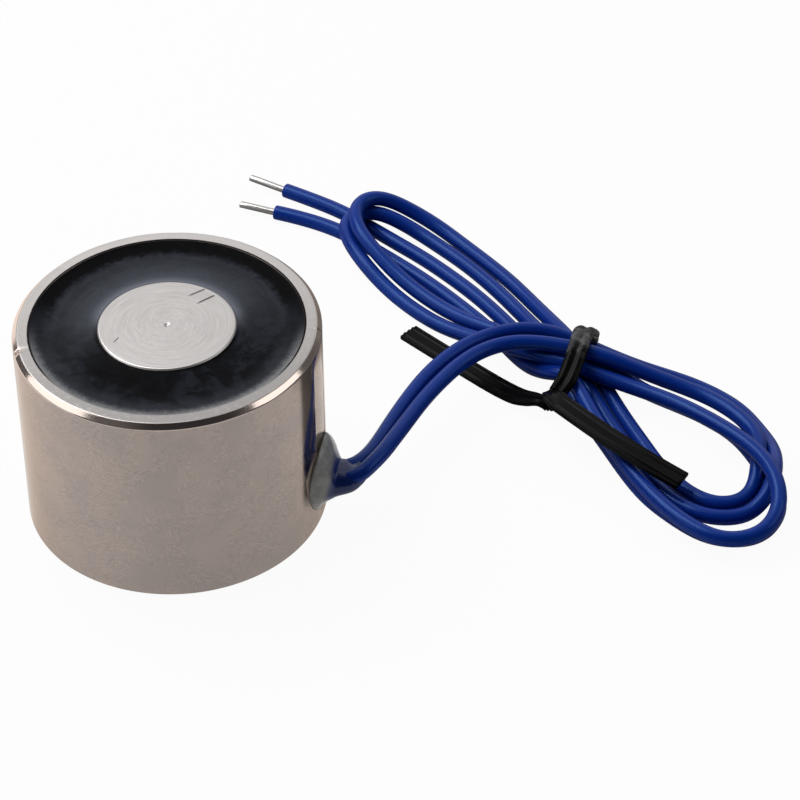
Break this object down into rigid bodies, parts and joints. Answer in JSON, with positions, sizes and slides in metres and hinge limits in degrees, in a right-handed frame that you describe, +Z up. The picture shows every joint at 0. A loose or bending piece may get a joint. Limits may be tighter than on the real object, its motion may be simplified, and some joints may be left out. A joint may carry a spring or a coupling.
{
  "type": "holding electromagnet",
  "caption": "Round holding electromagnet: plated steel cup and centre pole around a potted coil, threaded base, and insulated leads coiled into a tied hank",
  "frame": {"origin": "centre of the base, on the surface it stands on", "axes": "+Z up along the pole to the holding face, +X out through the lead exit"},
  "size_m": [0.0754, 0.0671, 0.022],
  "materials": {
    "cup_plating": "satin nickel plating",
    "pole_plating": "turned and nickel plated",
    "bobbin_plastic": "moulded",
    "enamelled_copper": "enamelled copper wire",
    "coil_tape": "polyester tape",
    "tinned_copper": "tinned",
    "sleeve_plastic": "shrink sleeve",
    "black_epoxy": "cast, semi-gloss",
    "grey_sealant": "cured sealant",
    "blue_insulation": "extruded",
    "tie_plastic": "ribbed"
  },
  "bodies": {
    "root": {"housing_cup": "cup_plating", "centre_pole": "pole_plating", "bobbin": "bobbin_plastic", "coil_winding": "enamelled_copper", "coil_tape": "coil_tape", "splice_joint_a": "tinned_copper", "splice_joint_b": "tinned_copper", "splice_sleeve_a": "sleeve_plastic", "splice_sleeve_b": "sleeve_plastic", "potting_compound": "black_epoxy", "lead_seal": "grey_sealant", "lead_a": "blue_insulation", "lead_b": "blue_insulation", "lead_a_tip": "tinned_copper", "lead_b_tip": "tinned_copper", "twist_tie": "tie_plastic"}
  },
  "joints": []
}
